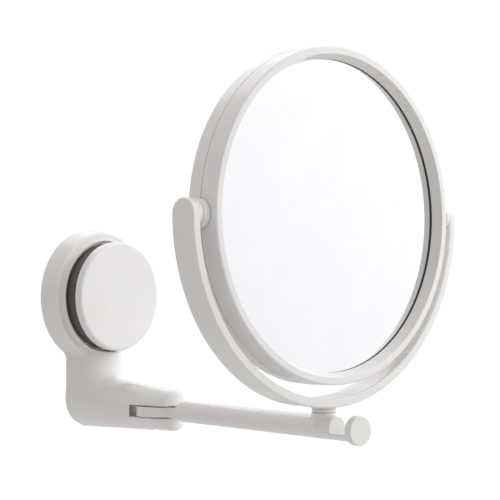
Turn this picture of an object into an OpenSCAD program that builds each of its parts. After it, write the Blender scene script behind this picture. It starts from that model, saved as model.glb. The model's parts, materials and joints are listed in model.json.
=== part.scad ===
// Wall-mounted swing-arm shaving mirror on a twist-lock suction mount.
// Origin: centre of the suction cup's wall face. +X right, +Y into the wall, +Z up.

/* [Mirror head] */
// Outer diameter of the mirror head across its front face
head_d = 180; // [170:1:190]
// Depth of the front shell, from the parting line to the front face
front_depth = 11.5; // [11:0.5:13]
// Depth of the rear shell, from the parting line to the back face
rear_depth = 9.5; // [9.5:0.5:11.5]
// Width of the flat ring around each opening
ring_w = 4.1; // [3.5:0.1:4.5]
// Depth of the plain glass below the front face
glass_recess = 5.8; // [5:0.1:5.8]
// Thickness of the plain glass
glass_t = 2; // [2:0.5:3]
// Radius of curvature of the magnifying glass
magnifier_r = 750; // [740:10:1500]

/* [Yoke] */
// Gap between the mirror head and the inside of the yoke
yoke_gap = 6.9; // [6.9:0.1:9]
// Radial thickness of the yoke band
yoke_t = 5; // [4.5:0.1:6]
// Width of the yoke band, which is also the width of its rounded tips
yoke_w = 16; // [15:0.5:20]
// Height of the mirror's pivots above the centre of the suction mount
pivot_z = 46.5; // [40:0.5:60]

/* [Suction mount] */
// Diameter of the mount housing at the wall
housing_d = 81.8; // [80:0.2:86]
// Depth of the housing's front lip from the wall
lip_depth = 15.4; // [15:0.1:16]
// Diameter of the twist knob
knob_d = 66.6; // [64:0.2:67]
// Depth of the knob's face from the wall
knob_face = 27.7; // [27:0.1:30]
// Height of the knob's side wall
knob_side = 4.8; // [4:0.1:5.5]
// How far the cup stud is pulled out when the mount is locked
stud_travel = 3; // [2:0.5:3]

/* [Wall bracket] */
// Radius of the half-round neck below the housing
neck_r = 20; // [18:0.5:22]
// Height of the arms below the centre of the suction mount
arm_drop = 66.5; // [64:0.5:72]
// Distance of the arm's hinge pin from the wall
hinge_out = 61; // [55:1:75]
// Radius of the fork's ears around the hinge pin
ear_r = 15; // [14.6:0.1:15.4]

/* [Swing arm] */
// Distance from the hinge pin to the swivel that carries the yoke
arm_reach = 141.5; // [125:0.5:170]
// Radius of the swing arm's tube
tube_r = 6.3; // [6:0.1:7]
// Length of the open hook between the swivel and the end disc
hook_gap = 13.3; // [9:0.1:15]
// Radius of the end disc
disc_r = 7.9; // [7:0.1:9]

/* [Rest pose] */
// Angle of the swing arm from straight out, towards the left
fold_rest = 7.5; // [0:0.5:15]
// Angle of the mirror from facing straight out, towards the left
swivel_rest = 4.5; // [0:0.5:15]
// Upward tilt of the mirror
tilt_rest = 0.6; // [0:0.1:5]

/* [Hidden] */
$fn = 96;

abs_white = [0.93, 0.93, 0.92];
collar_grey = [0.26, 0.26, 0.25];
eps = 0.05;             // overlap that joins two shapes
fit = 0.05;             // radial clearance of a running fit
slip = 0.2;             // clearance around a loosely held part

// Mirror head: radii are measured from its centre, heights from the parting plane
head_r = head_d / 2;
rim_r = head_r + 0.4;                   // at the parting line, from the shells' draft
mouth_r = head_r - ring_w;              // edge of the opening in the flat ring
ledge_r = mouth_r - 2.45;               // foot of the flared wall, where the glass starts
pocket_r = ledge_r + 0.75;              // pocket that holds the glass
glass_r = pocket_r - slip;
skirt_r = pocket_r + 1.4;               // outside of the skirt around the glass
wall_r = rim_r - 2.2;                   // inside of the shells' outer wall
glass_z = front_depth - glass_recess;   // front of the plain glass
back_ledge = rear_depth - 4.7;          // depth of the magnifying glass's edge
magnifier_t = 2;
groove_floor = 2.2;                     // thickness left behind each flat ring

// Pivot joint between the head and the yoke, along the pivot axis
flange_r = 7.7;
flange_out = rim_r + 4.2;
barrel_r = 5;
pin_r = 3;
bush_collar_r = 6.3;                    // collar that keeps the bush inside the shells
bush_in = skirt_r + 0.4;
yoke_in = rim_r + yoke_gap;
yoke_out = yoke_in + yoke_t;
boss_in = flange_out + 0.4;
boss_r = 7.8;

// Snap ring on the rear shell that goes into the front shell
snap_t = 1.1;
snap_h = 2.5;
snap_gap = 0.1;                         // between the snap ring and the front shell's wall

// Suction mount: heights are measured from the wall
wall_gap = 0.3;                         // the cup stands this far proud of the housing
housing_r = housing_d / 2;
shoulder_r = housing_r - 2.1;
shoulder_h = 11.4;
deck_h = 11.4;                          // underside of the deck the knob turns on
deck_t = 2;
knob_r = knob_d / 2;
lip_r = knob_r + 0.3;
lip_t = 1;
collar_r = knob_r - 1.1;
collar_t = 2.5;
skirt_h = knob_face - knob_side;
web_h = skirt_h - 2;                    // underside of the collar's web
washer_t = 0.5;
washer_r = 15;
spigot_r = 9;
spigot_drop = 4.2;                      // how far the collar's spigot reaches below the washer
nut_r = 6.9;
thread_r = 3;
stud_head_r = 6;
stud_head_h = 2.9;
stud_head_t = 2;
boss_h = 6.4;                           // top of the cup's central boss
cup_r = 37.4;
screw_circle_r = 20;                    // circle of the three screws that join cap and collar
collar_screw_r = 1.3;
collar_screw_head_r = 2.6;
collar_screw_head_t = 1.8;
clip_t = 0.9;

// Wall bracket
arm_z = -arm_drop;
arm_base_r = 16.3;                      // radius of the fixed arm at the wall
arm_base_z = arm_z + 1.8;               // height of its axis at the wall
arm_slope = 1.8;                        // droop of its axis, in degrees
arm_taper = 0.0575;                     // loss of radius per millimetre
elbow_z = arm_z + 5.5;                  // centre of the neck's round lower end
neck_wall = 2.6;
arm_wall = 2.8;
hollow_depth = 39;                      // depth of the hollow behind the neck, from the wall
big = 100;                              // larger than any section that it trims
slot_top = arm_z + 2.35;
slot_bottom = arm_z - 4.65;
slot_back_r = ear_r + 3.1;              // rounded end of the slot
pin_top = arm_z + 8.9;
pin_head_top = arm_z - 8.2;
pin_head_t = 2.4;
pin_head_r = 4.8;
plug_t = 1.3;
hinge_washer_r = 9;

// Swing arm, in its own frame: the hinge pin is the origin and -Y runs along the arm
tongue_r = ear_r - 0.8;
tongue_t = 6;
tongue_mid = (slot_top + slot_bottom) / 2 - arm_z;
tube_start = ear_r + 7;
stub_r = 6.9;
stub_top = 8;
hook_start = arm_reach + 10.2;
hook_end = hook_start + hook_gap;
hook_floor = -2.3;
disc_t = 4.4;
post_r = 4.4;                           // post below the yoke that turns in the arm
bush_r = 5.6;
post_end = 1;                           // height of the post's lower end
web_top = 0.8;                          // web between the post and the screw head
web_bottom = -1;
screw_head_r = 3.5;
screw_head_t = 1.9;
screw_r = 1.75;
screw_l = 12;
swivel_bore_r = 3.9;
spring_t = 0.7;

// Places shared by the joints
swivel_xy = [-arm_reach * sin(fold_rest), -hinge_out - arm_reach * cos(fold_rest)];
hub_z = pivot_z - yoke_out - 0.6;       // underside of the yoke's hub
pin_floor = 1.3;                        // wall left outside each blind pivot bore

module outward(at = [0, 0, 0]) translate(at) rotate([90, 0, 0]) children();

module at_hinge() translate([0, -hinge_out, arm_z]) rotate([0, 0, -fold_rest]) children();

module at_swivel() translate([swivel_xy[0], swivel_xy[1], 0]) rotate([0, 0, -swivel_rest]) children();

module at_pivot() at_swivel() translate([0, 0, pivot_z]) rotate([-tilt_rest, 0, 0]) children();

// A shape turned about the head's axis, with its height towards the front
module head_turn() at_pivot() rotate([90, 0, 0]) rotate(90) rotate_extrude($fn = 180) children();

module tube(r_out, r_in, low, high) {
    translate([0, 0, low]) difference() {
        cylinder(r = r_out, h = high - low);
        translate([0, 0, -1]) cylinder(r = r_in, h = high - low + 2);
    }
}

// Points on a quarter round from the angle a0 to a1 about a centre
function arc(c, r, a0, a1, n = 6) = [for (i = [0:n]) let (a = a0 + (a1 - a0) * i / n)
    [c[0] + r * cos(a), c[1] + r * sin(a)]];

// ---- Wall bracket: housing, neck and fixed arm in one moulding ----

module housing_profile() {
    shoulder_round = 1.8;
    cove_r = 1.6;
    lip_edge = 0.3;
    wall_foot_t = 2.4;
    wall_top_t = 4;
    hole_r = spigot_r + 2 * fit;
    polygon(concat(
        [[housing_r - wall_foot_t, wall_gap], [housing_r, wall_gap]],
        arc([shoulder_r - shoulder_round, shoulder_h], shoulder_round, 4, 82),
        arc([lip_r + lip_t + cove_r, shoulder_h + shoulder_round + cove_r], cove_r, 270, 180),
        [[lip_r + lip_t, lip_depth - lip_edge], [lip_r + lip_t - lip_edge, lip_depth],
         [lip_r, lip_depth], [lip_r, deck_h + deck_t], [hole_r, deck_h + deck_t],
         [hole_r, deck_h], [housing_r - wall_top_t, deck_h]]));
}

// The arm's cone starts behind the wall so that its slope leaves no gap there
module fixed_arm(grow = 0, length = 85) {
    behind = 3;
    outward([0, 0, arm_base_z]) rotate([arm_slope, 0, 0])
        translate([0, 0, -behind]) cylinder(r1 = arm_base_r + grow + behind * arm_taper,
            r2 = arm_base_r + grow - length * arm_taper, h = length + behind);
}

module neck(r) {
    translate([0, 0, elbow_z]) {
        sphere(r = r);
        cylinder(r = r, h = -elbow_z - housing_r / 2);
    }
}

// Keeps the neck clear of the housing's cavity and trims it in line with the shoulder
module neck_trim() {
    inset = 1.2;
    outward() {
        cylinder(r1 = housing_r - inset, r2 = shoulder_r - inset, h = shoulder_h);
        cylinder(r = shoulder_r - 0.2, h = big);
    }
}

module wall_bracket() {
    color(abs_white) difference() {
        union() {
            outward() rotate_extrude($fn = 180) housing_profile();
            difference() {
                intersection() {
                    union() {
                        neck(neck_r);
                        fixed_arm();
                    }
                    // Behind the hinge pin, and round about it
                    translate([0, -hinge_out, -big]) {
                        translate([-big / 2, 0, 0]) cube([big, hinge_out - wall_gap, big]);
                        cylinder(r = ear_r, h = big);
                    }
                }
                neck_trim();
            }
        }
        // Hollow back of the neck and the fixed arm
        intersection() {
            union() {
                neck(neck_r - neck_wall);
                fixed_arm(-arm_wall, 60);
            }
            translate([-big / 2, -hollow_depth, -big]) cube([big, hinge_out, big - housing_r]);
        }
        // Slot for the swing arm's tongue
        translate([0, -hinge_out, slot_bottom]) {
            cylinder(r = slot_back_r, h = slot_top - slot_bottom);
            translate([-big / 2, -big, 0]) cube([big, big, slot_top - slot_bottom]);
        }
        // Bore for the hinge pin, with a recess for its head
        translate([0, -hinge_out, 0]) {
            translate([0, 0, pin_head_top - 1]) cylinder(r = pin_r + 0.02,
                h = pin_top + slip - pin_head_top + 1);
            translate([0, 0, -big]) cylinder(r = pin_head_r + slip, h = pin_head_top + big);
        }
    }
}

module suction_cup() {
    color("dimgray") outward() rotate_extrude($fn = 180) difference() {
        polygon([[0, 0], [cup_r, 0], [cup_r + 0.2, 0.8], [34, 1.7], [22, 2.6], [9.6, 3.6],
                 [8.5, 4.2], [8.5, boss_h], [0, boss_h]]);
        translate([0, stud_head_h]) square([stud_head_r + fit, stud_head_t]);
        translate([0, stud_head_h + stud_head_t - eps]) square([thread_r + fit, boss_h]);
    }
}

module thrust_washer() {
    color("ivory") outward()
        tube(washer_r, spigot_r + slip, deck_h + deck_t, deck_h + deck_t + washer_t);
}

// ---- Twist knob ----

// Places a shape at each of the three screws
module each_screw() for (a = [90, 210, 330]) rotate(a) translate([screw_circle_r, 0, 0]) children();

module knob_cap() {
    round_r = 2;
    cap_t = 2;
    inner_r = knob_r - cap_t;
    screw_boss_r = 3;
    color(abs_white) outward() {
        rotate_extrude($fn = 180) polygon(concat(
            [[0, knob_face - cap_t], [0, knob_face]],
            arc([knob_r - round_r, knob_face - round_r], round_r, 90, 0),
            [[knob_r, skirt_h + 0.3], [knob_r - 0.3, skirt_h], [inner_r, skirt_h],
             [inner_r, knob_face - cap_t]]));
        each_screw()
            tube(screw_boss_r, collar_screw_r + 0.02, skirt_h + 0.1, knob_face - cap_t + eps);
    }
}

// The grip: a hub and an outer wall joined by a web, with a ring that centres the cap
module lock_collar() {
    base_h = deck_h + deck_t + washer_t;
    hub_r = 14;
    inner_r = collar_r - collar_t;
    ring_r = knob_r - 2.3;
    ring_t = 2;
    ring_h = 1.6;
    groove_depth = 0.8;
    color(collar_grey) outward() difference() {
        rotate_extrude($fn = 180) polygon([
            [nut_r + 0.02, base_h - spigot_drop], [spigot_r, base_h - spigot_drop],
            [spigot_r, base_h], [hub_r, base_h], [hub_r, web_h], [inner_r, web_h], [inner_r, base_h],
            [collar_r, base_h], [collar_r, skirt_h], [ring_r, skirt_h], [ring_r, skirt_h + ring_h],
            [ring_r - ring_t, skirt_h + ring_h], [ring_r - ring_t, skirt_h], [nut_r + 0.02, skirt_h]]);
        each_screw() cylinder(r = collar_screw_r + 0.3, h = big);
        // Groove for the retaining clip
        tube(spigot_r + 1, spigot_r - groove_depth, deck_h - clip_t - 0.5, deck_h - slip);
    }
}

// A screw head on its back, with a cross recess of the given width, length and depth
module cross_head(r, h, slot_w, slot_l, slot_h) {
    difference() {
        cylinder(r = r, h = h);
        for (a = [0, 90]) rotate(a) translate([-slot_w / 2, -slot_l / 2, -1])
            cube([slot_w, slot_l, slot_h + 1]);
    }
}

module collar_screws() {
    color("silver") outward() each_screw() {
        translate([0, 0, web_h - collar_screw_head_t])
            cross_head(collar_screw_head_r, collar_screw_head_t, 0.6, 3.6, 0.7);
        translate([0, 0, web_h - eps]) cylinder(r = collar_screw_r, h = knob_face - 2.4 - web_h);
    }
}

module knob_nut() {
    color("goldenrod") outward() tube(nut_r, thread_r + fit, deck_h - 1, web_h);
}

module retaining_clip() {
    mouth = 5;
    color("silver") outward() difference() {
        tube(spigot_r + 2.4, spigot_r - 0.7, deck_h - clip_t - 0.35, deck_h - 0.35);
        translate([-big, -mouth / 2, 0]) cube([big, mouth, deck_h]);
    }
}

module cup_stud() {
    lead_in = 0.7;
    stud_end = skirt_h - 0.3 - stud_travel;
    color("goldenrod") outward() {
        translate([0, 0, stud_head_h]) cylinder(r = stud_head_r, h = stud_head_t);
        translate([0, 0, stud_head_h]) cylinder(r = thread_r, h = stud_end - lead_in - stud_head_h);
        translate([0, 0, stud_end - lead_in]) cylinder(r1 = thread_r, r2 = thread_r - lead_in, h = lead_in);
    }
}

// ---- Arm hinge ----

module hinge_pin() {
    color("silver") translate([0, -hinge_out, 0]) {
        translate([0, 0, pin_head_top - pin_head_t]) difference() {
            cylinder(r = pin_head_r, h = pin_head_t);
            translate([0, 0, -1]) cylinder(r = 2, h = 2.3, $fn = 6);
        }
        translate([0, 0, pin_head_top - eps]) cylinder(r = pin_r, h = pin_top - pin_head_top);
    }
}

module hinge_washers() {
    ring_t = (slot_top - slot_bottom - tongue_t) / 2 - 2 * 0.02;
    color("ivory") translate([0, -hinge_out, 0]) {
        tube(hinge_washer_r, pin_r + slip, slot_top - 0.02 - ring_t, slot_top - 0.02);
        tube(hinge_washer_r, pin_r + slip, slot_bottom + 0.02, slot_bottom + 0.02 + ring_t);
    }
}

module hinge_plug() {
    color(abs_white) translate([0, -hinge_out, pin_head_top - pin_head_t - 0.1 - plug_t])
        cylinder(r = pin_head_r + slip / 2, h = plug_t);
}

// ---- Swing arm ----

module swing_arm() {
    chamfer = 0.8;
    edge = 0.4;
    color(abs_white) at_hinge() difference() {
        union() {
            // Tongue in the fork
            translate([0, 0, tongue_mid - tongue_t / 2]) {
                cylinder(r = tongue_r, h = tongue_t);
                translate([-tube_r, -tube_start - 2, 0]) cube([2 * tube_r, tube_start + 2, tongue_t]);
            }
            // Tube, with a small chamfer where it meets the fork
            outward([0, -tube_start, 0]) {
                cylinder(r1 = tube_r - chamfer, r2 = tube_r, h = chamfer + eps);
                translate([0, 0, chamfer]) cylinder(r = tube_r, h = hook_end - tube_start);
            }
            // Boss that the yoke stands on
            translate([0, -arm_reach, 0]) {
                cylinder(r = stub_r, h = stub_top - edge);
                translate([0, 0, stub_top - edge]) cylinder(r1 = stub_r, r2 = stub_r - edge, h = edge);
            }
            // End disc that keeps a towel or razor on the hook
            outward([0, -hook_end, 0]) rotate_extrude() polygon([[0, 0], [disc_r - edge, 0],
                [disc_r, edge], [disc_r, disc_t - edge], [disc_r - edge, disc_t], [0, disc_t]]);
        }
        // Open top of the hook
        translate([-big / 2, -hook_end, hook_floor]) cube([big, hook_gap, big]);
        // Hinge bore
        cylinder(r = pin_r + fit, h = big, center = true);
        // Swivel bore from above, screw recess from below, web between them
        translate([0, -arm_reach, 0]) {
            translate([0, 0, web_top]) cylinder(r = bush_r + 0.02, h = big);
            translate([0, 0, web_bottom - big]) cylinder(r = swivel_bore_r, h = big);
            cylinder(r = screw_r + slip, h = big, center = true);
        }
    }
}

module swivel_bush() {
    color("ivory") at_hinge() translate([0, -arm_reach, 0])
        tube(bush_r, post_r + fit, web_top + 0.02, stub_top - 0.05);
}

// Closes the screw recess flush with the tube
module swivel_plug() {
    color(abs_white) at_hinge() intersection() {
        translate([0, -arm_reach, -tube_r]) cylinder(r = swivel_bore_r - 0.02,
            h = tube_r + web_bottom - spring_t - 2 * fit - screw_head_t - slip);
        outward([0, -tube_start, 0]) cylinder(r = tube_r, h = hook_end - tube_start);
    }
}

// ---- Yoke ----

// Rounded end of the band, with the boss that holds a pivot pin
module tip() {
    edge = 0.9;
    rotate_extrude() polygon([[0, yoke_in], [yoke_w / 2 - edge, yoke_in],
        [yoke_w / 2, yoke_in + edge], [yoke_w / 2, yoke_out - edge],
        [yoke_w / 2 - edge, yoke_out], [0, yoke_out]]);
    translate([0, 0, boss_in]) cylinder(r = boss_r, h = yoke_in - boss_in + eps);
}

module yoke_band() {
    edge = 0.9;
    half = yoke_w / 2;
    rotate([90, 0, 0]) rotate([0, 0, 180]) rotate_extrude(angle = 180, $fn = 180)
        polygon([[yoke_in, edge - half], [yoke_in + edge, -half], [yoke_out - edge, -half],
                 [yoke_out, edge - half], [yoke_out, half - edge], [yoke_out - edge, half],
                 [yoke_in + edge, half], [yoke_in, half - edge]]);
}

module yoke() {
    color(abs_white) at_swivel() difference() {
        union() {
            translate([0, 0, pivot_z]) {
                yoke_band();
                for (side = [-1, 1]) rotate([0, side * 90, 0]) tip();
            }
            translate([0, 0, hub_z]) cylinder(r = stub_r, h = pivot_z - yoke_in - 1.2 - hub_z);
            translate([0, 0, arm_z + post_end]) cylinder(r = post_r,
                h = hub_z - arm_z - post_end + 1);
        }
        // Screw hole up the post
        translate([0, 0, arm_z]) cylinder(r = screw_r + 0.02, h = screw_l + 0.5);
        // Blind bores for the pivot pins
        translate([0, 0, pivot_z]) for (side = [-90, 90]) rotate([0, side, 0])
            translate([0, 0, boss_in - 1])
                cylinder(r = pin_r + 0.02, h = yoke_out - pin_floor - boss_in + 1);
    }
}

module pivot_pins() {
    pin_low = bush_in + 0.4;
    color("silver") at_swivel() translate([0, 0, pivot_z]) for (side = [-90, 90])
        rotate([0, side, 0]) translate([0, 0, pin_low])
            cylinder(r = pin_r, h = yoke_out - pin_floor - 0.1 - pin_low);
}

module swivel_washer() {
    color(abs_white) at_swivel() tube(stub_r - 0.4, post_r + slip,
        arm_z + stub_top + fit, hub_z - fit);
}

module swivel_spring_washer() {
    color("silver") at_swivel() tube(screw_head_r, screw_r + slip,
        arm_z + web_bottom - fit - spring_t, arm_z + web_bottom - fit);
}

module swivel_screw() {
    head_top = arm_z + web_bottom - 2 * fit - spring_t;
    color("silver") at_swivel() {
        translate([0, 0, head_top - screw_head_t])
            cross_head(screw_head_r, screw_head_t, 0.8, 4.4, 1);
        translate([0, 0, head_top - eps]) cylinder(r = screw_r, h = screw_l);
    }
}

// ---- Mirror head ----

// Half of the head's section from the parting plane outwards, for a given depth and glass ledge
module shell_section(depth, ledge) {
    edge = 1;
    seam_edge = 0.3;
    mouth_edge = 0.4;
    polygon(concat(
        [[wall_r, 0], [rim_r - seam_edge, 0], [rim_r, seam_edge]],
        arc([head_r - edge, depth - edge], edge, 0, 90),
        [[mouth_r + mouth_edge, depth], [mouth_r, depth - mouth_edge], [ledge_r, ledge],
         [pocket_r, ledge], [pocket_r, 0], [skirt_r, 0], [skirt_r, depth - groove_floor],
         [wall_r, depth - groove_floor]]));
}

module bush_holes() {
    for (side = [-90, 90]) rotate([0, side, 0]) translate([0, 0, wall_r - snap_t - 1])
        rotate(90) cylinder(r = barrel_r + 0.02, h = 8);
}

module front_shell() {
    color(abs_white) difference() {
        head_turn() shell_section(front_depth, glass_z);
        at_pivot() bush_holes();
    }
}

module rear_shell() {
    color(abs_white) difference() {
        union() {
            at_pivot() rotate([-90, 0, 0]) rotate(90) rotate_extrude($fn = 180)
                shell_section(rear_depth, back_ledge);
            // Snap ring, with a root that joins it to the wall
            head_turn() translate([wall_r - snap_t - snap_gap, -1]) square([snap_t, snap_h + 1]);
            head_turn() translate([wall_r - snap_t - snap_gap, -2])
                square([snap_t + snap_gap + eps, 2]);
        }
        at_pivot() bush_holes();
        // Clears the bushes' collars
        at_pivot() for (side = [-90, 90]) rotate([0, side, 0]) translate([0, 0, bush_in - 0.2])
            rotate(90) cylinder(r = bush_collar_r + slip, h = wall_r - bush_in + slip);
    }
}

module plain_glass() {
    color("lightsteelblue") at_pivot() outward([0, fit - glass_z + glass_t, 0])
        cylinder(r = glass_r, h = glass_t, $fn = 180);
}

// A sheet bent to a sphere, with its hollow side facing back
module magnifier_glass() {
    sag = magnifier_r - sqrt(magnifier_r * magnifier_r - glass_r * glass_r);
    centre_y = back_ledge - fit - sag + magnifier_r;
    color("lightsteelblue") at_pivot() intersection() {
        outward([0, rear_depth, 0]) cylinder(r = glass_r, h = rear_depth + 4, $fn = 180);
        translate([0, centre_y, 0]) difference() {
            sphere(r = magnifier_r + magnifier_t, $fn = 180);
            sphere(r = magnifier_r, $fn = 180);
        }
    }
}

module glass_spacer() {
    color("dimgray") at_pivot() rotate([90, 0, 0])
        tube(glass_r - 0.4, glass_r - 5, magnifier_t + 0.75 - back_ledge, glass_z - glass_t - 0.1);
}

// A flanged bush held between the two shells; side is 1 on the right and -1 on the left
module pivot_bush(side) {
    color(abs_white) at_pivot() rotate([0, side * 90, 0]) difference() {
        union() {
            difference() {
                translate([0, 0, wall_r]) cylinder(r = flange_r, h = flange_out - wall_r);
                rotate([90, 0, 0]) cylinder(r = rim_r + fit, h = big, center = true, $fn = 180);
            }
            translate([0, 0, bush_in]) cylinder(r = barrel_r, h = flange_out - bush_in - 1);
            translate([0, 0, bush_in]) cylinder(r = bush_collar_r, h = 1.8);
        }
        cylinder(r = pin_r + fit, h = flange_out + 1);
    }
}

module pivot_bush_left() pivot_bush(-1);

module pivot_bush_right() pivot_bush(1);

wall_bracket();
suction_cup();
thrust_washer();
knob_cap();
lock_collar();
collar_screws();
knob_nut();
retaining_clip();
cup_stud();
hinge_pin();
hinge_washers();
hinge_plug();
swing_arm();
swivel_bush();
swivel_plug();
yoke();
pivot_pins();
swivel_washer();
swivel_spring_washer();
swivel_screw();
front_shell();
rear_shell();
plain_glass();
magnifier_glass();
glass_spacer();
pivot_bush_left();
pivot_bush_right();
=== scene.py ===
import json
import math

import bpy
import numpy as np
from mathutils import Matrix, Vector


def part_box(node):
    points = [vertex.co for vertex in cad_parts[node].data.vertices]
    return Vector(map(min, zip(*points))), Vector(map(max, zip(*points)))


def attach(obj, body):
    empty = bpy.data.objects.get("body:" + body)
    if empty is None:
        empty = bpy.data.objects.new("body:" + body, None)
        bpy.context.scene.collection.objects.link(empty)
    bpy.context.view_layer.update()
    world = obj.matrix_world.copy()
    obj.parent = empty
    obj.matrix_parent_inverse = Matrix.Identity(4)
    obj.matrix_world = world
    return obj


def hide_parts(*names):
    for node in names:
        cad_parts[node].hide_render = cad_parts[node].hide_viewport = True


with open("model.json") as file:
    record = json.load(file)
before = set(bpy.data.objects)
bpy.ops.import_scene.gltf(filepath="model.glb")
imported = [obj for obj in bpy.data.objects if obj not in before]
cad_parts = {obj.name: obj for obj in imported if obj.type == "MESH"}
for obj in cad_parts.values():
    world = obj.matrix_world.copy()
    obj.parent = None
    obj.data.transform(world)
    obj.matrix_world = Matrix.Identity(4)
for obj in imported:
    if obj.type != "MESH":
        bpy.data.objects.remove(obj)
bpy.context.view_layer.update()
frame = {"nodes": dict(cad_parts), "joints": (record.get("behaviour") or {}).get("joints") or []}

MM = 0.001

# ---- Places from the frame's joints, in millimetres ----

JOINTS = {joint["name"]: joint for joint in frame["joints"]}


def joint_place(name):
    return Vector(JOINTS[name]["pos_m"]) / MM


HINGE = joint_place("arm_fold")
SWIVEL = joint_place("yoke_swivel")
PIVOT = joint_place("mirror_tilt")
TILT_AXIS = Vector(JOINTS["mirror_tilt"]["axis"])
SWIVEL_REST = math.atan2(TILT_AXIS.y, TILT_AXIS.x)
FOLD_REST = math.atan2(SWIVEL.x - HINGE.x, HINGE.y - SWIVEL.y)
ARM_REACH = (SWIVEL - HINGE).xy.length
TILT_REST = math.radians(-0.6)

WALL = Matrix.Rotation(math.pi / 2, 4, "X")
ARM = Matrix.Translation(HINGE) @ Matrix.Rotation(FOLD_REST, 4, "Z")
YOKE = Matrix.Translation(PIVOT) @ Matrix.Rotation(SWIVEL_REST, 4, "Z")
HEAD = YOKE @ Matrix.Rotation(TILT_REST, 4, "X")
FORWARD = HEAD @ Matrix.Rotation(math.pi / 2, 4, "X")
BACKWARD = HEAD @ Matrix.Rotation(-math.pi / 2, 4, "X")

# ---- Sizes in millimetres, the same as the CAD model's ----

# Mirror head
HEAD_R = 90.0
RIM_R = 90.4
FRONT_DEPTH = 11.5
REAR_DEPTH = 9.5
MOUTH_R = 85.9
LEDGE_R = 83.45
POCKET_R = 84.2
SKIRT_R = 85.6
INNER_WALL_R = 88.2
FRONT_LEDGE = FRONT_DEPTH - 5.8
REAR_LEDGE = REAR_DEPTH - 4.7
FACE_T = 2.2
SHELL_SEAM = 0.17
GLASS_T = 2.0
GLASS_FACE_R = LEDGE_R + 0.25
GLASS_BEVEL = 0.3
GLASS_PLAY = 0.06
SILVER_DEPTH = 0.8
MAGNIFIER_R = 750.0
MAGNIFIER_BOW = MAGNIFIER_R - math.sqrt(MAGNIFIER_R ** 2 - LEDGE_R ** 2)
GLASS_RINGS = 12

# Bushes between the head and the yoke
FLANGE_R = 7.7
FLANGE_OUT = RIM_R + 4.2
BARREL_R = 5.0
BUSH_START = SKIRT_R + 0.4
SNAP_R = 6.3
SNAP_T = 1.8
PIN_BORE_R = 3.05

# Yoke
YOKE_IN = RIM_R + 6.9
YOKE_OUT = YOKE_IN + 5.0
YOKE_HALF_W = 8.0
BOSS_IN = FLANGE_OUT + 0.4
BOSS_R = 7.8
PIN_HOLE_R = 3.02
HUB_LOW = -YOKE_OUT - 0.6
HUB_R = 6.9
POST_R = 4.4
POST_LENGTH = 9
SCREW_HOLE_R = 1.77

# Wall mount
HOUSING_R = 40.9
SHOULDER_R = 38.8
SHOULDER_H = 13.2
SHOULDER_EDGE = 1.8
LIP_R = 33.6
LIP_T = 1.0
LIP_H = 15.4
LIP_FILLET = 1.5
DECK_H = 13.4
DECK_T = 2.0
DECK_BORE_R = 9.1
WALL_GAP = 0.3

# Suction cup
CUP_R = 37.5
CUP_BOSS_R = 8.5
CUP_BOSS_H = 6.4
SEAL_GROOVES = (31.0, 34.0)
GROOVE_W = 1.2
GROOVE_SIDE = 0.3
GROOVE_DEPTH = 0.25
STUD_R = 3.05
STUD_HEAD_R = 6.05
STUD_HEAD_LOW = 2.9
STUD_HEAD_HIGH = 4.9

# Knob
CAP_R = 33.3
CAP_BACK = 22.9
CAP_FACE = 27.7
CAP_SKIN = 2.0
COLLAR_R = 32.2
COLLAR_WALL = 2.5
COLLAR_LOW = DECK_H + 0.5
COLLAR_BORE_R = 6.92
COLLAR_HUB_R = 14.0
SLEEVE_R = 9.0
SLEEVE_H = 4.2
SPIGOT_IN = CAP_R - 4.3
SPIGOT_OUT = CAP_R - 2.3
SPIGOT_H = 1.6

# Wall bracket: the neck, the elbow and the fixed arm
NECK_R = 20.0
NECK_WALL = 2.6
NECK_TOP = -26
ELBOW_Z = -61.0
ELBOW_FILLET = 7.0
HOUSING_FILLET = 2.5
UNDERSIDE_Z = -78.0
UNDERSIDE_BLEND = 12.0
ARM_BASE_R = 16.3
ARM_WALL = 2.8
ARM_BASE_Z = -64.7
ARM_TAPER = 0.0575
ARM_SLOPE = math.radians(1.8)
HOLLOW_FRONT = -39.0
HOLLOW_TOP = -42.5

# Fork at the fixed arm's end
EAR_R = 15.0
EAR_FLARE = 0.5
EAR_EDGE = 2.6
SLOT_TOP = -64.15
SLOT_BOTTOM = -71.15
SLOT_BACK_R = 18.1
HINGE_BORE_R = 3.02
HINGE_BORE_TOP = -57.4
PIN_HEAD_R = 5.0
PIN_HEAD_Z = -74.7

# Swing arm
TONGUE_R = 14.2
TONGUE_T = 6.0
TONGUE_MID = -1.15
TUBE_R = 6.3
TUBE_START = 22.0
BAR_HALF_W = TUBE_R - 0.6
STUB_R = 6.9
STUB_TOP = 8.0
BUSH_HOLE_R = 5.62
BUSH_HOLE_FLOOR = 0.8
SCREW_HEAD_R = 3.9
SCREW_SHANK_R = 1.95
HOOK_START = ARM_REACH + 10.2
HOOK_END = HOOK_START + 13.3
HOOK_FLOOR = -2.3
DISC_R = 7.9
DISC_T = 4.4
DISC_END = HOOK_END + DISC_T
FLOW_LINE_Z = (-1.35, -1.1)
FLOW_LINE_X = (-3.5, 20)
FLOW_LINE_DEPTH = 0.07


# ---- Signed distance shapes, in millimetres: negative inside ----

def length(*parts):
    return np.sqrt(sum(part * part for part in parts))


def join(a, b, fillet):
    """Union of two distances, with a round fillet between their surfaces."""
    if not fillet:
        return np.minimum(a, b)
    corner = length(np.maximum(fillet - a, 0), np.maximum(fillet - b, 0))
    return np.maximum(fillet, np.minimum(a, b)) - corner


def common(a, b, edge):
    """Intersection of two distances, with a rounded edge between their surfaces."""
    if not edge:
        return np.maximum(a, b)
    corner = length(np.maximum(edge + a, 0), np.maximum(edge + b, 0))
    return np.minimum(-edge, np.maximum(a, b)) + corner


def cut(a, b, edge):
    """Takes the second shape out of the first, with a rounded edge."""
    return common(a, -b, edge)


def between(value, low, high):
    """Distance to the slab between two values."""
    return np.maximum(low - value, value - high)


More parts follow.
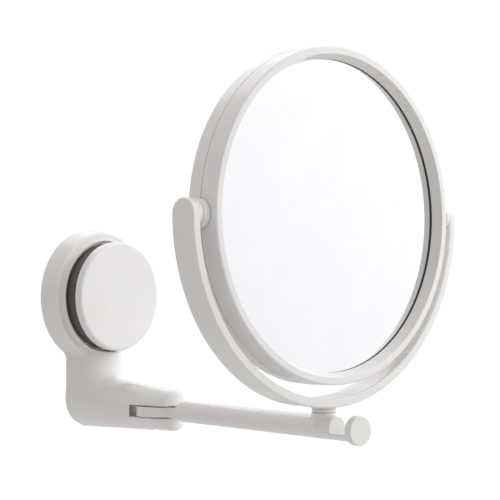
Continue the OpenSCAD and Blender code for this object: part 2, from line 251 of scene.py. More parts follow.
# ---- Meshes ----

SETTLE_ROUNDS = 4
STRAIGHT = 0.02


def add_mesh(name, points, normals, faces, matrix):
    """A smooth mesh from points and normals in millimetres in the matrix's own space."""
    turn = np.array(matrix.to_3x3())
    shift = np.array(matrix.translation)
    places = (points @ turn.T + shift) * MM
    mesh = bpy.data.meshes.new(name)
    mesh.vertices.add(len(places))
    mesh.vertices.foreach_set("co", places.astype(np.float32).ravel())
    sizes = np.array([len(face) for face in faces])
    mesh.loops.add(int(sizes.sum()))
    mesh.loops.foreach_set("vertex_index", np.concatenate(faces).astype(np.int32))
    mesh.polygons.add(len(sizes))
    starts = np.concatenate([[0], np.cumsum(sizes)[:-1]])
    mesh.polygons.foreach_set("loop_start", starts.astype(np.int32))
    mesh.update(calc_edges=True)
    mesh.validate()
    mesh.polygons.foreach_set("use_smooth", np.ones(len(mesh.polygons), bool))
    mesh.normals_split_custom_set_from_vertices((normals @ turn.T).tolist())
    piece = bpy.data.objects.new(name, mesh)
    bpy.context.scene.collection.objects.link(piece)
    return piece


def gradient(field, p, reach=0.02):
    """The field's slope at each point, by central differences."""
    slopes = []
    for axis in range(3):
        step = np.zeros(3)
        step[axis] = reach
        slopes.append(field(*(p + step).T) - field(*(p - step).T))
    return np.stack(slopes, axis=1) / (2 * reach)


def cells_round(index, axis, cells):
    """The four cells round each grid edge along an axis, in turning order, and where all exist."""
    first, second = (axis + 1) % 3, (axis + 2) % 3
    around = []
    inside = np.ones(len(index), bool)
    for one, two in ((-1, -1), (0, -1), (0, 0), (-1, 0)):
        cell = index.copy()
        cell[:, first] += one
        cell[:, second] += two
        inside &= np.all((cell >= 0) & (cell < cells), axis=1)
        around.append(cell)
    return around, inside


def edge_crossings(values, axis):
    """Grid edges along an axis that the surface cuts: their index, the cut, and if each starts inside."""
    count = values.shape[axis]
    lower = np.take(values, range(count - 1), axis)
    upper = np.take(values, range(1, count), axis)
    index = np.argwhere((lower < 0) != (upper < 0))
    start, end = lower[tuple(index.T)], upper[tuple(index.T)]
    crossing = index.astype(float)
    crossing[:, axis] += start / (start - end)
    return index, crossing, start < 0


def settle(field, points, step):
    """Moves points onto the field's surface along its slope, and gives their normals."""
    for _ in range(SETTLE_ROUNDS):
        slope = gradient(field, points)
        move = slope * (field(*points.T) / np.maximum((slope ** 2).sum(1), 1e-6))[:, None]
        points -= np.clip(move, -step / 3, step / 3)
    normals = gradient(field, points)
    normals /= np.maximum(np.linalg.norm(normals, axis=1), 1e-6)[:, None]
    return normals


def field_mesh(field, low, high, step):
    """The zero surface of a distance field as quads: one point in each cell that it crosses."""
    low = np.array(low, float)
    counts = np.ceil((np.array(high) - low) / step).astype(int) + 1
    ticks = [low[axis] + step * np.arange(counts[axis]) for axis in range(3)]
    values = field(*np.meshgrid(*ticks, indexing="ij")).astype(np.float32)
    cells = counts - 1
    total = int(np.prod(cells))
    sums, hits, edges = np.zeros((total, 3)), np.zeros(total), []
    for axis in range(3):
        index, crossing, from_inside = edge_crossings(values, axis)
        around, inside = cells_round(index, axis, cells)
        around = [np.ravel_multi_index(cell[inside].T, cells) for cell in around]
        for cell in around:
            for part in range(3):
                sums[:, part] += np.bincount(cell, crossing[inside][:, part], total)
            hits += np.bincount(cell, minlength=total)
        edges.append((np.stack(around, 1), from_inside[inside]))
    used = np.flatnonzero(hits)
    number = np.full(total, -1)
    number[used] = np.arange(len(used))
    points = low + step * sums[used] / hits[used][:, None]
    normals = settle(field, points, step)
    quads = [np.where(out[:, None], number[ring], number[ring][:, ::-1]) for ring, out in edges]
    return points, normals, list(np.concatenate(quads))


def field_piece(name, matrix, field, low, high, step):
    """A mesh of a field inside a box of the matrix's own space, with cells of the given step."""
    points, normals, faces = field_mesh(field, low, high, step)
    return add_mesh(name, points, normals, faces, matrix)


def unit(vector):
    return vector / np.linalg.norm(vector)


def open_end(here, near, direction):
    """The first or last point of an open profile, with the normal of the line that it ends."""
    along = unit((near - here) * direction)
    return here, np.array([along[1], -along[0]])


def rounded_corner(here, back, ahead, fillet, steps):
    """The arc that rounds one corner, or the corner alone where the profile goes nearly straight on."""
    first = np.array([-back[1], back[0]])
    last = np.array([ahead[1], -ahead[0]])
    turn = first[0] * last[1] - first[1] * last[0]
    if abs(turn) < STRAIGHT:
        return [(here, unit(first + last))]
    side = 1 if turn > 0 else -1
    half = math.acos(np.clip(back @ ahead, -1, 1)) / 2
    centre = here + unit(back + ahead) * fillet / math.sin(half)
    normals = [unit(first * (1 - k / steps) + last * k / steps) for k in range(steps + 1)]
    return [(centre + side * normal * fillet, normal) for normal in normals]


def rounded(corners, closed=True, steps=5):
    """Profile points and normals from (radius, height, fillet) corners, with the solid on their left."""
    places = [np.array(corner[:2], float) for corner in corners]
    made = []
    for i, (here, corner) in enumerate(zip(places, corners)):
        if not closed and i == 0:
            made.append(open_end(here, places[1], 1))
        elif not closed and i == len(corners) - 1:
            made.append(open_end(here, places[i - 1], -1))
        else:
            back = unit(places[i - 1] - here)
            ahead = unit(places[(i + 1) % len(places)] - here)
            made.extend(rounded_corner(here, back, ahead, corner[2], steps))
    return made


def lathe(name, matrix, corners, closed=True, around=192, steps=5):
    """Turns a profile about the local Z axis."""
    profile = rounded(corners, closed, steps)
    angles = np.arange(around) * 2 * math.pi / around
    cosines, sines = np.cos(angles), np.sin(angles)
    points, normals, rings = [], [], []
    for (r, h), (nr, nh) in profile:
        if r < 1e-6:
            rings.append([len(points)] * around)
            points.append((0, 0, h))
            normals.append((0, 0, math.copysign(1, nh)))
            continue
        rings.append(list(range(len(points), len(points) + around)))
        points.extend(zip(r * cosines, r * sines, [h] * around))
        normals.extend(zip(nr * cosines, nr * sines, [nh] * around))
    faces = []
    pairs = list(zip(rings, rings[1:] + rings[:1])) if closed else list(zip(rings, rings[1:]))
    for lower, upper in pairs:
        for i in range(around):
            j = (i + 1) % around
            face = [lower[i], lower[j], upper[j], upper[i]]
            faces.append(np.array(list(dict.fromkeys(face))))
    return add_mesh(name, np.array(points), np.array(normals), faces, matrix)


# ---- Materials ----

def node_material(name):
    material = bpy.data.materials.new(name)
    material.use_nodes = True
    tree = material.node_tree
    shader = tree.nodes["Principled BSDF"]
    return material, tree, shader


def add_node(tree, kind, inputs=None, **settings):
    node = tree.nodes.new(kind)
    for key, value in settings.items():
        setattr(node, key, value)
    for key, value in (inputs or {}).items():
        if isinstance(value, bpy.types.NodeSocket):
            tree.links.new(value, node.inputs[key])
        else:
            node.inputs[key].default_value = value
    return node


def noise(tree, place, scale, detail=3.0, roughness=0.5):
    node = add_node(tree, "ShaderNodeTexNoise", {"Vector": place, "Scale": scale,
                                                 "Detail": detail, "Roughness": roughness})
    return node.outputs["Fac"]


def spread(tree, value, low, high, start=0.0, end=1.0):
    """Maps a value's stretch from start to end onto low to high, and holds it there beyond."""
    node = add_node(tree, "ShaderNodeMapRange", {"Value": value, "From Min": start, "From Max": end,
                                                 "To Min": low, "To Max": high})
    return node.outputs["Result"]


def mixed(tree, factor, one, two):
    """Mixes two colours. A colour Mix node has its factor at input 0 and its colours at 6 and 7."""
    node = add_node(tree, "ShaderNodeMix", {0: factor, 6: one, 7: two}, data_type="RGBA")
    return node.outputs[2]


def moulded_plastic(name, base, crease_shade, roughness, bump, grain, coat=0.0):
    """Injection-moulded plastic: faint flow tint, fine mould grain, slightly worn edges, and painted shade
    darkening its concave creases.
    """
    material, tree, shader = node_material(name)
    place = add_node(tree, "ShaderNodeTexCoord").outputs["Object"]
    flow = noise(tree, place, 28.0, 2.0)
    mottle = noise(tree, place, 420.0, 4.0)
    fine = noise(tree, place, grain, 3.0, 0.6)
    darker = [part * 0.965 for part in base]
    tint = mixed(tree, spread(tree, flow, 0.0, 1.0, 0.35, 0.65), (*base, 1.0), (*darker, 1.0))
    edge = add_node(tree, "ShaderNodeNewGeometry").outputs["Pointiness"]
    # Painted shade: concave creases, where Pointiness is low, are darkened towards the crease shade
    # colour.
    dust_and_crease_shade = spread(tree, edge, 0.55, 0.0, 0.44, 0.492)
    crease_shaded = mixed(tree, dust_and_crease_shade, tint, (*crease_shade, 1.0))
    tree.links.new(crease_shaded, shader.inputs["Base Color"])
    worn = spread(tree, edge, 0.0, 0.08, 0.52, 0.60)
    base_rough = spread(tree, mottle, roughness * 0.85, roughness * 1.2, 0.3, 0.7)
    rough = add_node(tree, "ShaderNodeMath", {0: base_rough, 1: worn}, operation="ADD")
    tree.links.new(rough.outputs[0], shader.inputs["Roughness"])
    shader.inputs["Coat Weight"].default_value = coat
    shader.inputs["Coat Roughness"].default_value = 0.06
    shader.inputs["IOR"].default_value = 1.5
    height = add_node(tree, "ShaderNodeMath", {0: fine, 1: mottle}, operation="ADD")
    relief = add_node(tree, "ShaderNodeBump", {"Height": height.outputs[0], "Strength": 0.3,
                                               "Distance": bump})
    tree.links.new(relief.outputs["Normal"], shader.inputs["Normal"])
    return material


def mirror_silver():
    """Silvering seen through the glass, with a faint haze, smears and specks of dust."""
    material, tree, shader = node_material("mirror_silver")
    place = add_node(tree, "ShaderNodeTexCoord").outputs["Object"]
    haze = noise(tree, place, 35.0, 5.0, 0.65)
    specks = noise(tree, place, 1600.0, 1.0)
    colour = mixed(tree, spread(tree, haze, 0.0, 1.0, 0.4, 0.7),
                   (0.905, 0.905, 0.91, 1), (0.885, 0.885, 0.89, 1))
    tree.links.new(colour, shader.inputs["Base Color"])
    smear = spread(tree, haze, 0.002, 0.02, 0.45, 0.75)
    dust_and_crease_shade = spread(tree, specks, 0.0, 0.06, 0.74, 0.8)
    rough = add_node(tree, "ShaderNodeMath", {0: smear, 1: dust_and_crease_shade}, operation="ADD")
    tree.links.new(rough.outputs[0], shader.inputs["Roughness"])
    shader.inputs["Metallic"].default_value = 1.0
    return material


def shaded_glass_edge():
    """Ground edge of the mirror glass, coloured near black: painted shade for the shadowed pocket round
    the glass.
    """
    material, tree, shader = node_material("shaded_glass_edge")
    place = add_node(tree, "ShaderNodeTexCoord").outputs["Object"]
    ground = noise(tree, place, 900.0, 4.0)
    colour = mixed(tree, ground, (0.012, 0.016, 0.015, 1), (0.035, 0.042, 0.04, 1))
    tree.links.new(colour, shader.inputs["Base Color"])
    tree.links.new(spread(tree, ground, 0.35, 0.6), shader.inputs["Roughness"])
    return material


def worked_metal(name, base, roughness, rings):
    """Metal with turning or blanking marks and a slightly uneven finish."""
    material, tree, shader = node_material(name)
    place = add_node(tree, "ShaderNodeTexCoord").outputs["Object"]
    patches = noise(tree, place, 240.0, 4.0)
    marks = add_node(tree, "ShaderNodeTexWave", {"Vector": place, "Scale": rings, "Distortion": 1.5,
                                                 "Detail": 2.0}, wave_type="BANDS", bands_direction="Y")
    darker = [part * 0.7 for part in base]
    colour = mixed(tree, patches, (*base, 1.0), (*darker, 1.0))
    tree.links.new(colour, shader.inputs["Base Color"])
    tree.links.new(spread(tree, patches, roughness * 0.7, roughness * 1.4), shader.inputs["Roughness"])
    relief = add_node(tree, "ShaderNodeBump", {"Height": marks.outputs["Fac"], "Strength": 0.3,
                                               "Distance": 0.00004})
    tree.links.new(relief.outputs["Normal"], shader.inputs["Normal"])
    shader.inputs["Metallic"].default_value = 1.0
    return material


def soft_elastomer(name, base, deeper, roughness, scatter):
    """Soft moulded elastomer or foam: cloudy colour with a fine skin."""
    material, tree, shader = node_material(name)
    place = add_node(tree, "ShaderNodeTexCoord").outputs["Object"]
    cloud = noise(tree, place, 60.0, 4.0)
    skin = noise(tree, place, 1800.0, 3.0)
    colour = mixed(tree, cloud, (*base, 1.0), (*deeper, 1.0))
    tree.links.new(colour, shader.inputs["Base Color"])
    tree.links.new(spread(tree, skin, roughness * 0.8, roughness * 1.3), shader.inputs["Roughness"])
    relief = add_node(tree, "ShaderNodeBump", {"Height": skin, "Strength": 0.3, "Distance": 0.00005})
    tree.links.new(relief.outputs["Normal"], shader.inputs["Normal"])
    shader.inputs["Subsurface Weight"].default_value = scatter
    shader.inputs["Subsurface Radius"].default_value = (0.003, 0.003, 0.003)
    return material


# The second colour of each plastic is painted shade for its concave creases.
WHITE = moulded_plastic("white_abs", base=(0.87, 0.865, 0.86), crease_shade=(0.60, 0.585, 0.57),
                        roughness=0.14, bump=0.0000004, grain=300.0, coat=0.4)
GREY = moulded_plastic("grey_plastic", base=(0.092, 0.092, 0.085), crease_shade=(0.05, 0.05, 0.047),
                       roughness=0.42, bump=0.00006, grain=3800.0)
NYLON = moulded_plastic("natural_nylon", base=(0.74, 0.71, 0.62), crease_shade=(0.45, 0.43, 0.37),
                        roughness=0.45, bump=0.00002, grain=3000.0)
SILVER = mirror_silver()
EDGE = shaded_glass_edge()
ZINC = worked_metal("zinc_steel", base=(0.62, 0.63, 0.64), roughness=0.28, rings=3500.0)
SPRING = worked_metal("spring_steel", base=(0.34, 0.34, 0.35), roughness=0.38, rings=5200.0)
BRASS = worked_metal("turned_brass", base=(0.78, 0.58, 0.27), roughness=0.24, rings=4200.0)
TPU = soft_elastomer("clear_tpu", base=(0.60, 0.63, 0.64), deeper=(0.50, 0.53, 0.54),
                     roughness=0.22, scatter=0.3)
FOAM = soft_elastomer("black_foam", base=(0.03, 0.03, 0.03), deeper=(0.05, 0.05, 0.05),
                      roughness=0.8, scatter=0.0)


def finish_piece(piece, body, materials, node):
    """Gives a new piece its materials and body, and hides the CAD node that it stands in for."""
    for material in materials:
        piece.data.materials.append(material)
    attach(piece, body)
    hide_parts(node)
    return piece


def repaint(node, material):
    """A better material on a CAD node that keeps its shape."""
    piece = frame["nodes"][node]
    piece.data.materials.clear()
    piece.data.materials.append(material)


# ---- Wall mount ----

def make_housing():
    low = DECK_H - DECK_T
    corners = [
        (HOUSING_R - 2.4, WALL_GAP, 0.3), (HOUSING_R, WALL_GAP, 0.5),
        (SHOULDER_R, SHOULDER_H, SHOULDER_EDGE), (LIP_R + LIP_T, SHOULDER_H, LIP_FILLET),
        (LIP_R + LIP_T, LIP_H, 0.3), (LIP_R, LIP_H, 0.3), (LIP_R, DECK_H, 0.4),
        (DECK_BORE_R, DECK_H, 0.3), (DECK_BORE_R, low, 0.3), (HOUSING_R - 4.0, low, 1.0)]
    piece = lathe("mount_housing", WALL, corners)
    return finish_piece(piece, "base", [WHITE], "wall_bracket")


def housing_field(radius, height):
    """The housing's outside in section: tapered side, round shoulder and lip."""
    side = radius - HOUSING_R + (HOUSING_R - SHOULDER_R) * height / SHOULDER_H
    drum = common(side, height - SHOULDER_H, SHOULDER_EDGE)
    lip = common(radius - LIP_R - LIP_T, height - LIP_H, 0.3)
    return join(drum, lip, LIP_FILLET)


def elbow(neck, arm, z):
    """Neck and arm together: filleted above and at the sides, with a straight underside."""
    above = np.clip((z - UNDERSIDE_Z) / UNDERSIDE_BLEND, 0, 1)
    return join(neck, arm, ELBOW_FILLET) * above + np.minimum(neck, arm) * (1 - above)


def meet_housing(body, x, y, z):
    """Fillets the neck into the housing, just under the turned surface and clear of its inside."""
    radius = length(x, z)
    housing = housing_field(radius, -y) + 0.1
    body = join(body, housing, HOUSING_FILLET)
    body = np.maximum(body, -housing - 1.2)
    body = np.maximum(body, z - NECK_TOP)
    body = common(body, LIP_R + LIP_T / 2 - radius, 0.3)
    return common(body, y + WALL_GAP + 0.05, 0.4)


def bracket_hollow(neck, arm, y, z):
    """The moulding's open back."""
    hollow = join(neck + NECK_WALL, arm + ARM_WALL, 6.0)
    hollow = common(hollow, HOLLOW_FRONT - y, 2.0)
    return common(hollow, z - HOLLOW_TOP, 1.5)


def hinge_cuts(body, x, past, z):
    """Takes out the tongue's slot, the hinge pin's bore and the recess of its head."""
    round_pin = length(x, past)
    plan = np.minimum(past, round_pin - SLOT_BACK_R)
    body = cut(body, np.maximum(plan, between(z, SLOT_BOTTOM, SLOT_TOP)), 0.35)
    body = cut(body, np.maximum(round_pin - HINGE_BORE_R, z - HINGE_BORE_TOP), 0)
    return cut(body, np.maximum(round_pin - PIN_HEAD_R, z - PIN_HEAD_Z), 0.3)


def bracket_field(x, y, z):
    """The neck, the elbow and the fixed arm with its fork, in the wall's frame."""
    along = -y * math.cos(ARM_SLOPE) - (z - ARM_BASE_Z) * math.sin(ARM_SLOPE)
    rise = (z - ARM_BASE_Z) * math.cos(ARM_SLOPE) - y * math.sin(ARM_SLOPE)
    neck = length(x, y, np.minimum(z - ELBOW_Z, 0)) - NECK_R
    arm = length(x, rise) - ARM_BASE_R + ARM_TAPER * along
    past = y - HINGE.y
    end = length(x, np.minimum(past, 0)) - EAR_R - EAR_FLARE * np.maximum(past, 0)
    body = common(elbow(neck, arm, z), end, EAR_EDGE)
    body = meet_housing(body, x, y, z)
    body = cut(body, bracket_hollow(neck, arm, y, z), 0.4)
    return hinge_cuts(body, x, past, z)


def make_bracket():
    piece = field_piece("bracket_arm", Matrix.Identity(4), bracket_field,
                        (-21.5, -77.5, -82.5), (21.5, 1, -14), 0.6)
    return finish_piece(piece, "base", [WHITE], "wall_bracket")


def make_suction_cup():
    """A thin disc with two sealing grooves, thicker towards the boss that holds the stud's head."""
    corners = [(0, 0, 0)]
    for start in SEAL_GROOVES:
        end = start + GROOVE_W
        corners += [(start, 0, 0.1), (start + GROOVE_SIDE, GROOVE_DEPTH, 0.1),
                    (end - GROOVE_SIDE, GROOVE_DEPTH, 0.1), (end, 0, 0.1)]
    corners += [(CUP_R - 0.2, 0, 0.2), (CUP_R, 0.8, 0.2), (CUP_R - 3.5, 1.7, 1.0), (22.0, 2.6, 2.0),
                (CUP_BOSS_R + 1.1, 3.6, 0.8), (CUP_BOSS_R, 4.2, 0.4), (CUP_BOSS_R, CUP_BOSS_H, 0.5),
                (STUD_R, CUP_BOSS_H, 0.2), (STUD_R, STUD_HEAD_HIGH, 0.1),
                (STUD_HEAD_R, STUD_HEAD_HIGH, 0.1), (STUD_HEAD_R, STUD_HEAD_LOW, 0.1),
                (0, STUD_HEAD_LOW, 0)]
    piece = lathe("suction_disc", WALL, corners, closed=False)
    return finish_piece(piece, "base", [TPU], "suction_cup")


def make_knob_cap():
    inside = CAP_R - CAP_SKIN
    corners = [(0, CAP_FACE - CAP_SKIN, 0), (inside, CAP_FACE - CAP_SKIN, 0.6), (inside, CAP_BACK, 0.2),
               (CAP_R, CAP_BACK, 0.35), (CAP_R, CAP_FACE - 0.15, 1.9), (CAP_R - 9, CAP_FACE - 0.03, 8.0),
               (0, CAP_FACE, 0)]
    piece = lathe("twist_cap", WALL, corners, closed=False)
    return finish_piece(piece, "knob", [WHITE], "knob_cap")


def make_collar():
    """A sleeve through the deck, a floor, a round wall and the ring that centres the cap."""
    low, under = COLLAR_LOW, CAP_BACK - 2
    inside = COLLAR_R - COLLAR_WALL
    corners = [(COLLAR_BORE_R, low - SLEEVE_H, 0.2), (SLEEVE_R, low - SLEEVE_H, 0.2), (SLEEVE_R, low, 0.2),
               (COLLAR_HUB_R, low, 0.2), (COLLAR_HUB_R, under, 0.5), (inside, under, 0.5),
               (inside, low, 0.2), (COLLAR_R, low, 0.3), (COLLAR_R, CAP_BACK, 0.2),
               (SPIGOT_OUT, CAP_BACK, 0.1), (SPIGOT_OUT, CAP_BACK + SPIGOT_H, 0.2),
               (SPIGOT_IN, CAP_BACK + SPIGOT_H, 0.2), (SPIGOT_IN, CAP_BACK, 0.2),
               (COLLAR_BORE_R, CAP_BACK, 0.2)]
    piece = lathe("grip_collar", WALL, corners)
    return finish_piece(piece, "knob", [GREY], "lock_collar")


# ---- Arm ----

def make_hinge_plug():
    low, high = (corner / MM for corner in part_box("hinge_plug"))
    radius = (high.x - low.x) / 2
    corners = [(0, low.z, 0), (radius, low.z, 0.35), (radius, high.z, 0.2), (0, high.z, 0)]
    stand = Matrix.Translation((HINGE.x, HINGE.y, 0))
    piece = lathe("hinge_cover", stand, corners, closed=False, around=64)
    return finish_piece(piece, "base", [WHITE], "hinge_plug")


def tube_field(x, along, z):
    """The round tube, which runs on into the end disc."""
    tube = length(x, z) - TUBE_R
    return common(tube, between(along, TUBE_START, HOOK_END + 1), 1.6)


def tongue_field(x, along, z):
    """The flat tongue: a disc round the hinge pin and a bar that runs into the tube."""
    disc = length(x, along) - TONGUE_R
    bar = np.maximum(np.abs(x) - BAR_HALF_W, between(along, 0, TUBE_START + 4))
    return common(join(disc, bar, 3.0), np.abs(z - TONGUE_MID) - TONGUE_T / 2, 0.5)


def add_hook(body, x, along, z):
    """Notches the tube's upper half and closes it with the end disc and its faint flow line."""
    notch = common(between(along, HOOK_START, HOOK_END), HOOK_FLOOR - z, 0.6)
    body = cut(body, notch, 0.3)
    disc = common(length(x, z) - DISC_R, between(along, HOOK_END, DISC_END), 0.55)
    body = join(body, disc, 0.35)
    line = np.maximum(between(z, *FLOW_LINE_Z), between(x, *FLOW_LINE_X))
    return cut(body, np.maximum(line, DISC_END - FLOW_LINE_DEPTH - along), 0)


def arm_field(x, y, z):
    """The swing arm: tongue, tube, stub under the yoke and hook, with local -Y along the tube."""
    along = -y
    body = join(tongue_field(x, along, z), tube_field(x, along, z), 0.6)
    beside = length(x, along - ARM_REACH)
    stub = common(beside - STUB_R, between(z, -1, STUB_TOP), 0.45)
    body = add_hook(join(body, stub, 0.7), x, along, z)
    body = cut(body, length(x, along) - PIN_BORE_R, 0.2)
    body = cut(body, np.maximum(beside - BUSH_HOLE_R, BUSH_HOLE_FLOOR - z), 0.2)
    body = cut(body, np.maximum(beside - SCREW_HEAD_R, z + 1.0), 0.2)
    return cut(body, beside - SCREW_SHANK_R, 0)


def make_swing_arm():
    piece = field_piece("arm_tube", ARM, arm_field,
                        (-15, -DISC_END - 1, -8.5), (15, 15, 9), 0.5)
    return finish_piece(piece, "arm", [WHITE], "swing_arm")


# ---- Yoke ----

def yoke_field(x, y, z):
    """The half ring with round ends, a boss in each end, and the hub and post below."""
    across = np.abs(x)
    upright = length(x, y)
    side = length(y, np.maximum(z, 0)) - YOKE_HALF_W
    radius = length(x, np.minimum(z, 0))
    body = common(side, between(radius, YOKE_IN, YOKE_OUT), 0.9)
    boss = common(length(y, z) - BOSS_R, between(across, BOSS_IN, YOKE_IN + 1), 0.5)
    body = join(body, boss, 0.3)
    hub = common(upright - HUB_R, between(z, HUB_LOW, -YOKE_IN - 1), 0.4)
    body = join(body, hub, 0.4)
    post = common(upright - POST_R, between(z, HUB_LOW - POST_LENGTH, -YOKE_OUT), 0.3)
    body = np.minimum(body, post)
    body = cut(body, np.maximum(upright - SCREW_HOLE_R, z + YOKE_OUT - 1), 0)
    pins = np.maximum(length(y, z) - PIN_HOLE_R, between(across, BOSS_IN - 2, YOKE_OUT - 1.3))
    return cut(body, pins, 0)


def make_yoke():
    reach = YOKE_OUT + 1
    piece = field_piece("yoke_band", YOKE, yoke_field,
                        (-reach, -9, HUB_LOW - POST_LENGTH - 1), (reach, 9, 9.5), 0.6)
    return finish_piece(piece, "yoke", [WHITE], "yoke")


def make_swivel_washer():
    low, high = (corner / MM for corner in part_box("swivel_washer"))
    outer = (high.x - low.x) / 2
    corners = [(POST_R + 0.2, low.z, 0.2), (outer, low.z, 0.35), (outer, high.z, 0.35),
               (POST_R + 0.2, high.z, 0.2)]
    stand = Matrix.Translation((SWIVEL.x, SWIVEL.y, 0))
    piece = lathe("swivel_ring", stand, corners, around=96)
    return finish_piece(piece, "yoke", [WHITE], "swivel_washer")


# ---- Mirror head ----

def make_shell(name, matrix, depth, ledge, node):
    """A shell half: rim, face, recessed edge for the glass, and the skirt behind it."""
    under = depth - FACE_T
    corners = [(INNER_WALL_R, SHELL_SEAM, 0.15), (RIM_R - 0.1, SHELL_SEAM, 0.3), (HEAD_R, depth, 1.0),
               (MOUTH_R, depth, 0.45), (LEDGE_R, ledge, 0.2), (POCKET_R, ledge, 0.1),
               (POCKET_R, 0.15, 0.1), (SKIRT_R, 0.15, 0.2), (SKIRT_R, under, 0.4),
               (INNER_WALL_R, under, 0.4)]
    piece = lathe(name, matrix, corners, around=256)
    return finish_piece(piece, "mirror", [WHITE], node)


def make_glass(name, matrix, ledge, node, bow=0.0):
    """A glass as one closed solid: the silvered face, the ground edge round it, coloured near black as
    painted shade, and the back.
    """
    silver = ledge - SILVER_DEPTH
    parts = [i / GLASS_RINGS for i in range(GLASS_RINGS + 1)]
    bend = [(GLASS_FACE_R * part, -bow * (1 - part ** 2)) for part in parts]
    back = ledge - GLASS_T
    corners = [(0, back - bow, 0)] + [(r, back + h, 0.02) for r, h in bend[1:-1]]
    corners += [(GLASS_FACE_R + GLASS_BEVEL, back, 0.15),
                (GLASS_FACE_R + GLASS_BEVEL, ledge - GLASS_PLAY, 0.05),
                (GLASS_FACE_R, ledge - GLASS_PLAY, 0.05)]
    corners += [(r, silver + h, 0.02) for r, h in reversed(bend[1:])] + [(0, silver - bow, 0)]
    piece = lathe(name, matrix, corners, closed=False, around=256, steps=2)
    finish_piece(piece, "mirror", [SILVER, EDGE], node)
    limit = (GLASS_FACE_R - GLASS_PLAY) * MM
    centre = matrix.translation * MM
    axis = matrix.to_3x3() @ Vector((0, 0, 1))
    # Faces off the silvered face get the near-black edge colour, which is painted shade.
    for face in piece.data.polygons:
        offset = face.center - centre
        out = (offset - axis * offset.dot(axis)).length
        facing = face.normal.dot(axis) > 0.5
        face.material_index = 0 if facing and out < limit else 1
    return piece


def bush_field(x, y, z):
    """A flanged bush on local +X, its flange fitted to the rim."""
    beside = length(y, z)
    flange = common(beside - FLANGE_R, between(x, INNER_WALL_R, FLANGE_OUT), 0.5)
    flange = cut(flange, length(x, z) - RIM_R - 0.05, 0.15)
    barrel = common(beside - BARREL_R, between(x, BUSH_START, FLANGE_OUT - 1), 0.2)
    snap = common(beside - SNAP_R, between(x, BUSH_START, BUSH_START + SNAP_T), 0.3)
    body = np.minimum(np.minimum(flange, barrel), snap)
    return cut(body, beside - PIN_BORE_R, 0.2)


def make_bush(side):
    turn = Matrix.Identity(4) if side == "right" else Matrix.Rotation(math.pi, 4, "Z")
    piece = field_piece(f"rim_bush_{side}", HEAD @ turn, bush_field,
                        (BUSH_START - 1, -8.5, -8.5), (FLANGE_OUT + 1, 8.5, 8.5), 0.35)
    return finish_piece(piece, "mirror", [WHITE], f"pivot_bush_{side}")


# ---- Studio, in metres ----

# The photo's camera: level, with its place and lens solved from the object's edges
CAMERA_PLACE = Vector((-0.73174, -0.77014, 0.02835))
CAMERA_AZIMUTH = math.radians(-48.94)
FOCAL_LENGTH = 122.4
SENSOR_WIDTH = 36
KEY_PLACE = Vector((0.5, -0.6, 0.35))
KEY_TARGET = Vector((0.0, -0.03, 0.0))
KEY_SIZE = 0.35
KEY_WATTS = 2.0
FLOOR_HALF = 1.6
FLOOR_HEIGHT = -0.34
RIGHT = (1, 0, 0)
BACK = (0, 1, 0)
UP = (0, 0, 1)
BRIGHT_SIDE = (0.93, 0.0, 0.37)
GLASS_SIDE = (0.60, 0.50, 0.62)
UNLIT_SIDE = (-0.70, -0.45, 0.55)


def make_camera():
    data = bpy.data.cameras.new("camera")
    data.sensor_width = SENSOR_WIDTH
    data.lens = FOCAL_LENGTH
    camera = bpy.data.objects.new("camera", data)
    camera.location = CAMERA_PLACE
    camera.rotation_euler = (math.pi / 2, 0, CAMERA_AZIMUTH)
    bpy.context.scene.collection.objects.link(camera)
    bpy.context.scene.camera = camera


def make_key_light():
    """A soft lamp in front and to the right, kept out of the reflections."""
    data = bpy.data.lights.new("key", "AREA")
    data.shape = "SQUARE"
    data.size = KEY_SIZE
    data.energy = KEY_WATTS
    lamp = bpy.data.objects.new("key", data)
    lamp.location = KEY_PLACE
    lamp.rotation_euler = (KEY_TARGET - KEY_PLACE).to_track_quat("-Z", "Y").to_euler()
    lamp.visible_camera = False
    lamp.visible_glossy = False
    bpy.context.scene.collection.objects.link(lamp)


def toward(tree, aim, low, high, start, end):
    """A value that goes from low to high as a direction of the world turns towards the aim."""
    direction = add_node(tree, "ShaderNodeTexCoord").outputs["Generated"]
    dot = add_node(tree, "ShaderNodeVectorMath", {0: direction, 1: aim}, operation="DOT_PRODUCT")
    return spread(tree, dot.outputs["Value"], low, high, start, end)


def combined(tree, operation, first, *others):
    """The sum or the product of several values."""
    for other in others:
        first = add_node(tree, "ShaderNodeMath", {0: first, 1: other}, operation=operation).outputs[0]
    return first


def studio_light(tree):
    """How bright the studio is in each direction."""
    broad = toward(tree, BRIGHT_SIDE, 0.74, 1.06, -1.0, 0.8)
    # A steeper step across the part of the studio that the glass reflects
    step = toward(tree, GLASS_SIDE, -0.15, 0.15, -0.18, 0.18)
    unlit = toward(tree, UNLIT_SIDE, 0.0, -0.22, 0.1, 1.0)
    rear = toward(tree, BACK, 0.0, -0.28, -0.1, 0.7)
    # Bright panel above and behind, whose left edge shows in the glossy rim
    panel = combined(tree, "MULTIPLY", toward(tree, RIGHT, 0.0, 0.6, 0.03, 0.08),
                     toward(tree, BACK, 0.0, 1.0, 0.3, 0.5), toward(tree, UP, 0.0, 1.0, 0.3, 0.5))
    return combined(tree, "ADD", broad, step, unlit, rear, panel)


def make_world():
    """White studio: dim and warm on the left, brighter to the right. The camera itself sees white."""
    world = bpy.data.worlds.new("studio")
    bpy.context.scene.world = world
    world.use_nodes = True
    tree = world.node_tree
    tint = mixed(tree, toward(tree, BRIGHT_SIDE, 0.0, 1.0, -0.8, 0.3),
                 (1.0, 0.95, 0.90, 1), (1.0, 1.0, 1.015, 1))
    scaled = add_node(tree, "ShaderNodeVectorMath", {0: tint, "Scale": studio_light(tree)},
                      operation="SCALE")
    eye = add_node(tree, "ShaderNodeLightPath").outputs["Is Camera Ray"]
    seen = mixed(tree, eye, scaled.outputs[0], (1.05, 1.05, 1.05, 1))
    background = tree.nodes["Background"]
    tree.links.new(seen, background.inputs["Color"])
    background.inputs["Strength"].default_value = 1.0


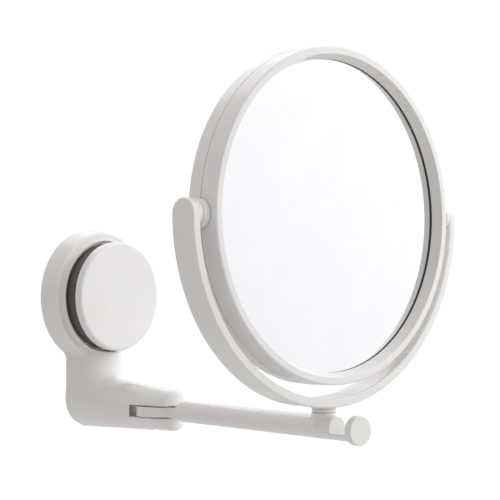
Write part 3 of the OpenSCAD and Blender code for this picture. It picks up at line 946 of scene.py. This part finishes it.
def make_floor():
    """A pale floor well below the part. The camera sees it brighter, so that it meets the white."""
    mesh = bpy.data.meshes.new("floor")
    corners = ((-1, -1), (1, -1), (1, 1), (-1, 1))
    mesh.from_pydata([(x * FLOOR_HALF, y * FLOOR_HALF, FLOOR_HEIGHT) for x, y in corners],
                     [], [(0, 1, 2, 3)])
    floor = bpy.data.objects.new("floor", mesh)
    bpy.context.scene.collection.objects.link(floor)
    material, tree, shader = node_material("floor_paint")
    place = add_node(tree, "ShaderNodeTexCoord").outputs["Object"]
    cloud = noise(tree, place, 1.5, 2.0)
    colour = mixed(tree, cloud, (0.66, 0.655, 0.65, 1), (0.64, 0.635, 0.63, 1))
    tree.links.new(colour, shader.inputs["Base Color"])
    shader.inputs["Roughness"].default_value = 0.9
    shader.inputs["Specular IOR Level"].default_value = 0.1
    eye = add_node(tree, "ShaderNodeLightPath").outputs["Is Camera Ray"]
    tree.links.new(spread(tree, eye, 0.0, 0.45), shader.inputs["Emission Strength"])
    shader.inputs["Emission Color"].default_value = (1, 1, 1, 1)
    mesh.materials.append(material)


def make_studio():
    make_world()
    make_floor()
    make_key_light()
    scene = bpy.context.scene
    scene.view_settings.view_transform = "Standard"
    scene.view_settings.look = "None"
    scene.view_settings.exposure = 0.0
    scene.view_settings.gamma = 1.0


# ---- Build ----

make_camera()
make_studio()
make_housing()
make_bracket()
make_suction_cup()
make_knob_cap()
make_collar()
make_hinge_plug()
make_swing_arm()
make_yoke()
make_swivel_washer()
make_shell("front_ring", FORWARD, FRONT_DEPTH, FRONT_LEDGE, "front_shell")
make_shell("rear_ring", BACKWARD, REAR_DEPTH, REAR_LEDGE, "rear_shell")
make_glass("plain_mirror", FORWARD, FRONT_LEDGE, "plain_glass")
make_glass("magnifying_mirror", BACKWARD, REAR_LEDGE, "magnifier_glass", MAGNIFIER_BOW)
make_bush("left")
make_bush("right")

REPAINTED = {
    "thrust_washer": NYLON, "hinge_washers": NYLON, "swivel_bush": NYLON,
    "collar_screws": ZINC, "hinge_pin": ZINC, "pivot_pins": ZINC, "swivel_screw": ZINC,
    "retaining_clip": SPRING, "swivel_spring_washer": SPRING,
    "knob_nut": BRASS, "cup_stud": BRASS, "glass_spacer": FOAM, "swivel_plug": WHITE}
for node_name, node_paint in REPAINTED.items():
    repaint(node_name, node_paint)
